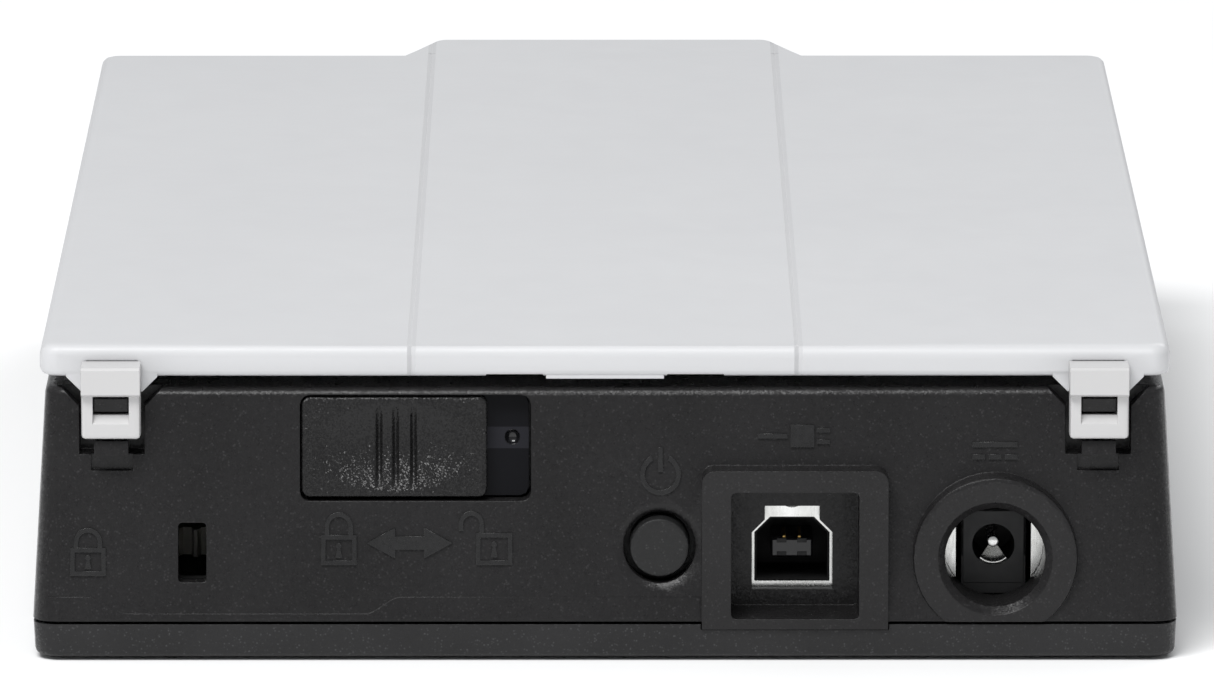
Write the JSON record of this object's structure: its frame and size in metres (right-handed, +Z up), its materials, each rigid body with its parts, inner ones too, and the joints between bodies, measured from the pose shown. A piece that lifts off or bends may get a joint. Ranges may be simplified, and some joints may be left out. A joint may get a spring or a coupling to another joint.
{
  "type": "flatbed scanner",
  "caption": "Compact A6 flatbed scanner with a flat white hinged lid, black two-part case, carriage lock slide, power button, USB and DC inlets and a belt-driven sensor carriage.",
  "frame": {"origin": "centre of the bounding box at the bottom, where the rubber feet stand", "axes": "+Z up, +X across the width, -Y towards the user and the lid's finger tab, +Y to the rear with hinges and sockets"},
  "size_m": [0.1456, 0.234, 0.0401],
  "materials": {
    "white_plastic": "satin",
    "black_plastic": "fine spark-eroded grain",
    "black_gloss": "gloss",
    "grey_plastic": "satin",
    "clear_glass": "polished",
    "rubber": "matte",
    "steel": "brushed",
    "brass": "polished",
    "circuit_board": "solder mask",
    "white_sheet": "matte",
    "nylon": "natural",
    "belt_rubber": "matte"
  },
  "bodies": {
    "base": {"bottom_cover": "black_plastic", "upper_housing": "black_plastic", "platen_glass": "clear_glass", "calibration_strip": "white_sheet", "rubber_foot_1": "rubber", "rubber_foot_2": "rubber", "rubber_foot_3": "rubber", "rubber_foot_4": "rubber", "case_screw_1": "steel", "case_screw_2": "steel", "case_screw_3": "steel", "case_screw_4": "steel", "power_switch": "black_plastic", "usb_shell": "steel", "usb_tongue": "black_gloss", "dc_jack_body": "black_plastic", "dc_jack_pin": "brass", "jack_shield": "steel", "security_slot_plate": "steel", "lock_track_plate": "black_gloss", "front_switch_board": "circuit_board", "status_light_pipe": "nylon", "sensor_flat_cable": "white_sheet", "drive_motor": "steel", "motor_bracket": "steel", "gear_axle": "steel", "idler_bracket": "steel", "belt_tension_spring": "steel", "drive_belt": "belt_rubber", "guide_rod": "steel", "front_rod_clamp": "nylon", "rear_rod_clamp": "nylon", "main_board": "circuit_board", "scanner_chip": "black_plastic", "cable_connector": "nylon"},
    "lid": {"lid_shell": "white_plastic", "left_hinge_arm": "white_plastic", "right_hinge_arm": "white_plastic", "lid_inner_panel": "white_plastic", "backing_pad": "white_sheet"},
    "power_button": {"power_button": "black_gloss"},
    "start_button": {"start_button": "grey_plastic"},
    "carriage_lock": {"lock_slider": "black_plastic"},
    "carriage": {"carriage_frame": "black_plastic", "front_rod_bushing": "brass", "rear_rod_bushing": "brass", "belt_clamp": "nylon", "left_sensor_spring": "steel", "right_sensor_spring": "steel"},
    "sensor": {"sensor_housing": "black_plastic", "lens_array": "grey_plastic", "sensor_window": "clear_glass", "sensor_board": "circuit_board", "left_glide_pad": "nylon", "right_glide_pad": "nylon"},
    "drive_gear": {"drive_gear": "nylon"},
    "motor_pinion": {"motor_pinion": "brass"},
    "idler_pulley": {"idler_pulley": "nylon"}
  },
  "joints": [
    {"name": "lid_hinge", "type": "hinge", "parent": "base", "child": "lid", "pos_m": [0, 0.1146, 0.0302], "axis": [-1, 0, 0], "range_deg": [0, 100]},
    {"name": "power_button_press", "type": "slide", "parent": "base", "child": "power_button", "axis": [0, -1, 0], "range_m": [0, 0.0008], "stiffness_N_per_m": 600, "springref_m": -0.0005},
    {"name": "start_button_press", "type": "slide", "parent": "base", "child": "start_button", "axis": [0, 1, 0], "range_m": [0, 0.0008], "stiffness_N_per_m": 600, "springref_m": -0.0005},
    {"name": "carriage_lock_slide", "type": "slide", "parent": "base", "child": "carriage_lock", "axis": [-1, 0, 0], "range_m": [0, 0.0053]},
    {"name": "carriage_travel", "type": "slide", "parent": "base", "child": "carriage", "axis": [0, -1, 0], "range_m": [0, 0.148], "deforming": ["sensor_flat_cable"]},
    {"name": "sensor_float", "type": "slide", "parent": "carriage", "child": "sensor", "axis": [0, 0, -1], "range_m": [0, 0.001], "stiffness_N_per_m": 700, "springref_m": -0.002, "deforming": ["left_sensor_spring", "right_sensor_spring"]},
    {"name": "drive_gear_spin", "type": "hinge", "parent": "base", "child": "drive_gear", "pos_m": [0.052, 0.086, 0.008], "axis": [0, 0, 1], "range_deg": [-5, 1705]},
    {"name": "motor_pinion_spin", "type": "hinge", "parent": "base", "child": "motor_pinion", "pos_m": [0.038, 0.086, 0.011], "axis": [0, 0, 1], "range_deg": [-4260, 5]},
    {"name": "idler_pulley_spin", "type": "hinge", "parent": "base", "child": "idler_pulley", "pos_m": [0.052, -0.095, 0.0065], "axis": [0, 0, 1], "range_deg": [-5, 1705]}
  ],
  "couplings": [
    {"joint": "drive_gear_spin", "follows": "carriage_travel", "rad_per_m": 200},
    {"joint": "motor_pinion_spin", "follows": "carriage_travel", "rad_per_m": -500},
    {"joint": "idler_pulley_spin", "follows": "carriage_travel", "rad_per_m": 200}
  ]
}
